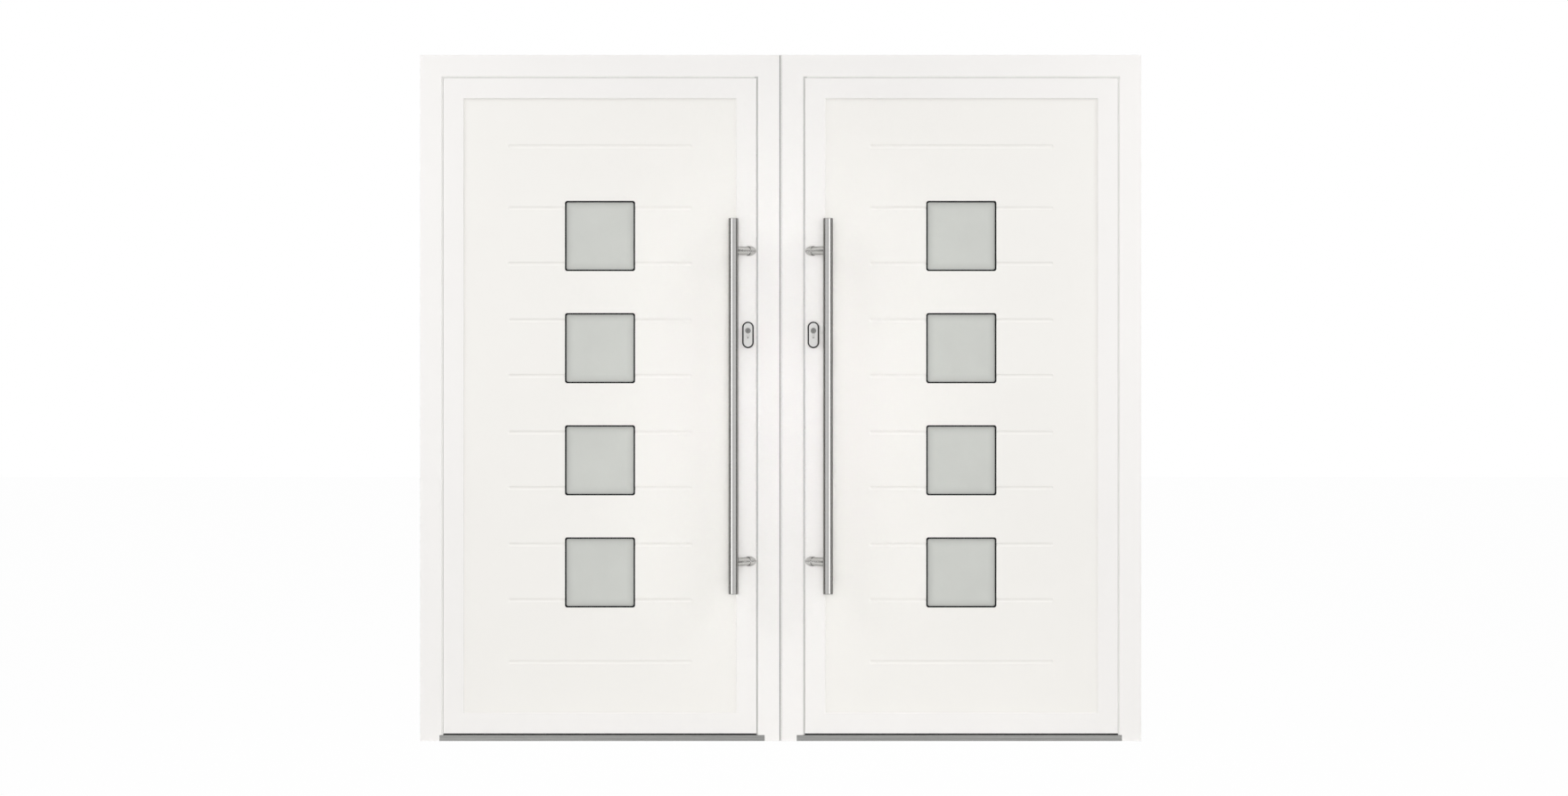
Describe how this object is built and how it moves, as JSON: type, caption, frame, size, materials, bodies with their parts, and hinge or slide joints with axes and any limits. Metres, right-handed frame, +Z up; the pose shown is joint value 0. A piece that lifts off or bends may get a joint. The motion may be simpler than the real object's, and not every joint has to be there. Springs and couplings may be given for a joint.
{
  "type": "paired entrance doors",
  "caption": "Mirrored pair of white entrance doors, each in its own frame, with square frosted windows, grooved panels, long pull bars, inside levers and locks.",
  "frame": {"origin": "floor level on the line between the two units, midway through the frame's depth", "axes": "+X to the right as seen from outside, +Y into the building, +Z up"},
  "size_m": [2.206, 0.197, 2.1],
  "materials": {
    "frame_coat": "satin",
    "leaf_coat": "satin",
    "panel_coat": "satin",
    "coupling_coat": "satin",
    "sill_anodised": "matte",
    "frosted_glass": "satin",
    "black_rubber": "matte",
    "grey_seal": "matte",
    "brushed_stainless": "satin",
    "cylinder_nickel": "satin",
    "zinc_steel": "satin",
    "hinge_coat": "satin"
  },
  "bodies": {
    "frame": {"coupling_profile": "coupling_coat", "frame_gaskets": "black_rubber", "outer_seals": "grey_seal", "strike_plates": "brushed_stainless", "hinge_frame_leaves": "hinge_coat", "hinge_pins": "zinc_steel", "hinge_jamb_left": "frame_coat", "lock_jamb_left": "frame_coat", "frame_head_left": "frame_coat", "threshold_left": "sill_anodised", "hinge_jamb_right": "frame_coat", "lock_jamb_right": "frame_coat", "frame_head_right": "frame_coat", "threshold_right": "sill_anodised"},
    "leaf_left": {"hinge_stile_left": "leaf_coat", "lock_stile_left": "leaf_coat", "top_rail_left": "leaf_coat", "bottom_rail_left": "leaf_coat", "infill_panel_left": "panel_coat", "panel_beads_left": "leaf_coat", "window_units_left": "frosted_glass", "window_gaskets_left": "black_rubber", "bottom_seal_left": "black_rubber", "pull_bar_left": "brushed_stainless", "pull_posts_left": "brushed_stainless", "outer_escutcheon_left": "brushed_stainless", "inner_backplate_left": "brushed_stainless", "cylinder_body_left": "cylinder_nickel", "lock_cases_left": "zinc_steel", "lock_faceplate_left": "brushed_stainless", "hinge_leaf_leaves_left": "hinge_coat"},
    "lever_left": {"lever_handle_left": "brushed_stainless", "lock_follower_left": "zinc_steel"},
    "latch_left": {"latch_bolt_left": "zinc_steel"},
    "bolts_left": {"lock_bolts_left": "zinc_steel"},
    "rods_left": {"drive_rods_left": "zinc_steel"},
    "cylinder_left": {"cylinder_plug_left": "cylinder_nickel"},
    "leaf_right": {"hinge_stile_right": "leaf_coat", "lock_stile_right": "leaf_coat", "top_rail_right": "leaf_coat", "bottom_rail_right": "leaf_coat", "infill_panel_right": "panel_coat", "panel_beads_right": "leaf_coat", "window_units_right": "frosted_glass", "window_gaskets_right": "black_rubber", "bottom_seal_right": "black_rubber", "pull_bar_right": "brushed_stainless", "pull_posts_right": "brushed_stainless", "outer_escutcheon_right": "brushed_stainless", "inner_backplate_right": "brushed_stainless", "cylinder_body_right": "cylinder_nickel", "lock_cases_right": "zinc_steel", "lock_faceplate_right": "brushed_stainless", "hinge_leaf_leaves_right": "hinge_coat"},
    "lever_right": {"lever_handle_right": "brushed_stainless", "lock_follower_right": "zinc_steel"},
    "latch_right": {"latch_bolt_right": "zinc_steel"},
    "bolts_right": {"lock_bolts_right": "zinc_steel"},
    "rods_right": {"drive_rods_right": "zinc_steel"},
    "cylinder_right": {"cylinder_plug_right": "cylinder_nickel"}
  },
  "joints": [
    {"name": "leaf_swing_left", "type": "hinge", "parent": "frame", "child": "leaf_left", "pos_m": [-1.0545, 0.0455, 1.026], "axis": [0, 0, 1], "range_deg": [0, 100]},
    {"name": "lever_turn_left", "type": "hinge", "parent": "leaf_left", "child": "lever_left", "pos_m": [-0.1, 0.0025, 1.164], "axis": [0, -1, 0], "range_deg": [0, 40], "stiffness_Nm_per_rad": 2, "springref_deg": -28.65},
    {"name": "latch_slide_left", "type": "slide", "parent": "leaf_left", "child": "latch_left", "axis": [-1, 0, 0], "range_m": [0, 0.012]},
    {"name": "cylinder_turn_left", "type": "hinge", "parent": "leaf_left", "child": "cylinder_left", "pos_m": [-0.1, 0.0025, 1.256], "axis": [0, -1, 0], "range_deg": [0, 360]},
    {"name": "bolt_slide_left", "type": "slide", "parent": "leaf_left", "child": "bolts_left", "axis": [1, 0, 0], "range_m": [0, 0.02]},
    {"name": "rod_slide_left", "type": "slide", "parent": "leaf_left", "child": "rods_left", "axis": [0, 0, 1], "range_m": [0, 0.012]},
    {"name": "leaf_swing_right", "type": "hinge", "parent": "frame", "child": "leaf_right", "pos_m": [1.0545, 0.0455, 1.026], "axis": [0, 0, -1], "range_deg": [0, 100]},
    {"name": "lever_turn_right", "type": "hinge", "parent": "leaf_right", "child": "lever_right", "pos_m": [0.1, 0.0025, 1.164], "axis": [0, 1, 0], "range_deg": [0, 40], "stiffness_Nm_per_rad": 2, "springref_deg": -28.65},
    {"name": "latch_slide_right", "type": "slide", "parent": "leaf_right", "child": "latch_right", "axis": [1, 0, 0], "range_m": [0, 0.012]},
    {"name": "cylinder_turn_right", "type": "hinge", "parent": "leaf_right", "child": "cylinder_right", "pos_m": [0.1, 0.0025, 1.256], "axis": [0, 1, 0], "range_deg": [0, 360]},
    {"name": "bolt_slide_right", "type": "slide", "parent": "leaf_right", "child": "bolts_right", "axis": [-1, 0, 0], "range_m": [0, 0.02]},
    {"name": "rod_slide_right", "type": "slide", "parent": "leaf_right", "child": "rods_right", "axis": [0, 0, 1], "range_m": [0, 0.012]}
  ],
  "couplings": [
    {"joint": "latch_slide_left", "follows": "lever_turn_left", "m_per_rad": 0.01715},
    {"joint": "bolt_slide_left", "follows": "cylinder_turn_left", "m_per_rad": 0.003182},
    {"joint": "rod_slide_left", "follows": "cylinder_turn_left", "m_per_rad": 0.0019},
    {"joint": "latch_slide_right", "follows": "lever_turn_right", "m_per_rad": 0.01715},
    {"joint": "bolt_slide_right", "follows": "cylinder_turn_right", "m_per_rad": 0.003182},
    {"joint": "rod_slide_right", "follows": "cylinder_turn_right", "m_per_rad": 0.0019}
  ]
}
